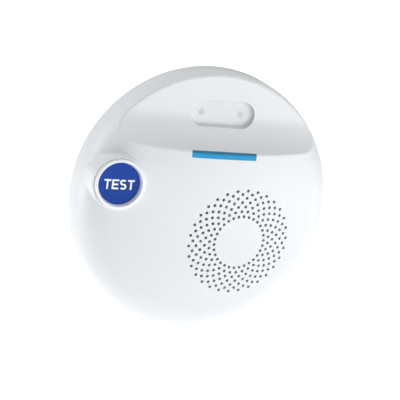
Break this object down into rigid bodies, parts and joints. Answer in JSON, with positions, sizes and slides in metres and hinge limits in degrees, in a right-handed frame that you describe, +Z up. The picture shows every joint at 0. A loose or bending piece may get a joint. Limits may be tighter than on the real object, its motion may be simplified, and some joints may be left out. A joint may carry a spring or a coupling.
{
  "type": "smoke detector",
  "caption": "Round wall-mounted smoke detector with a domed face, scooped recess, raised test button, ring of sound holes and bayonet mounting plate.",
  "frame": {"origin": "centre of the mounting plate's back face, on the wall", "axes": "+Z up, -Y out of the wall along the detector's axis, +X to the right for someone facing the detector"},
  "size_m": [0.12, 0.0352, 0.12],
  "materials": {
    "white_shell": "satin moulded plastic",
    "white_base": "fine moulded texture",
    "white_cap": "satin moulded plastic",
    "label_blue": "printed film",
    "light_blue": "tinted light guide",
    "window_grey": "tinted clear plastic",
    "black_plastic": "matt black",
    "board_green": "solder mask",
    "chip_black": "moulded resin",
    "steel": "plated",
    "brass": "rolled sheet",
    "ceramic_grey": "silvered ceramic",
    "foam_grey": "closed cell foam",
    "mesh_dark": "woven dust mesh",
    "clear_lens": "clear epoxy",
    "battery_wrap": "shrink sleeve",
    "aluminium_can": "drawn can",
    "led_white": "moulded",
    "switch_grey": "moulded"
  },
  "bodies": {
    "wall_plate": {"mounting_plate": "white_base"},
    "detector": {"rear_cover": "white_base", "front_cover": "white_shell", "light_bar": "light_blue", "light_board": "board_green", "status_lights": "led_white", "light_board_pins": "steel", "sensor_pad": "white_shell", "sensor_window_left": "window_grey", "sensor_window_right": "window_grey", "sensor_board": "board_green", "sensor_emitter": "clear_lens", "sensor_receiver": "black_plastic", "sensor_header": "black_plastic", "test_switch_body": "switch_grey", "main_board": "board_green", "controller": "chip_black", "memory": "chip_black", "crystal": "steel", "horn_coil": "black_plastic", "left_capacitor": "aluminium_can", "right_capacitor": "aluminium_can", "chamber_base": "black_plastic", "chamber_lid": "black_plastic", "insect_screen": "steel", "smoke_emitter": "clear_lens", "smoke_photodiode": "clear_lens", "sounder_housing": "black_plastic", "sounder_disc": "brass", "sounder_ceramic": "ceramic_grey", "sounder_contacts": "steel", "sounder_gasket": "foam_grey", "dust_mesh": "mesh_dark", "battery": "battery_wrap", "battery_cradle": "black_plastic", "battery_contact_plus": "steel", "battery_contact_minus": "steel", "board_screws": "steel", "cover_screws": "steel"},
    "test_button": {"button_cap": "white_cap", "button_label": "label_blue"},
    "switch_plunger": {"test_switch_plunger": "white_base"}
  },
  "joints": [
    {"name": "bayonet_twist", "type": "hinge", "parent": "wall_plate", "child": "detector", "pos_m": [0, 0, 0], "axis": [0, -1, 0], "range_deg": [0, 15]},
    {"name": "button_press", "type": "slide", "parent": "detector", "child": "test_button", "axis": [0, 1, 0], "range_m": [0, 0.0008], "stiffness_N_per_m": 2500, "springref_m": -0.0004},
    {"name": "switch_press", "type": "slide", "parent": "detector", "child": "switch_plunger", "axis": [0, 1, 0], "range_m": [0, 0.0008]}
  ],
  "couplings": [
    {"joint": "switch_press", "follows": "button_press", "ratio": 1}
  ]
}
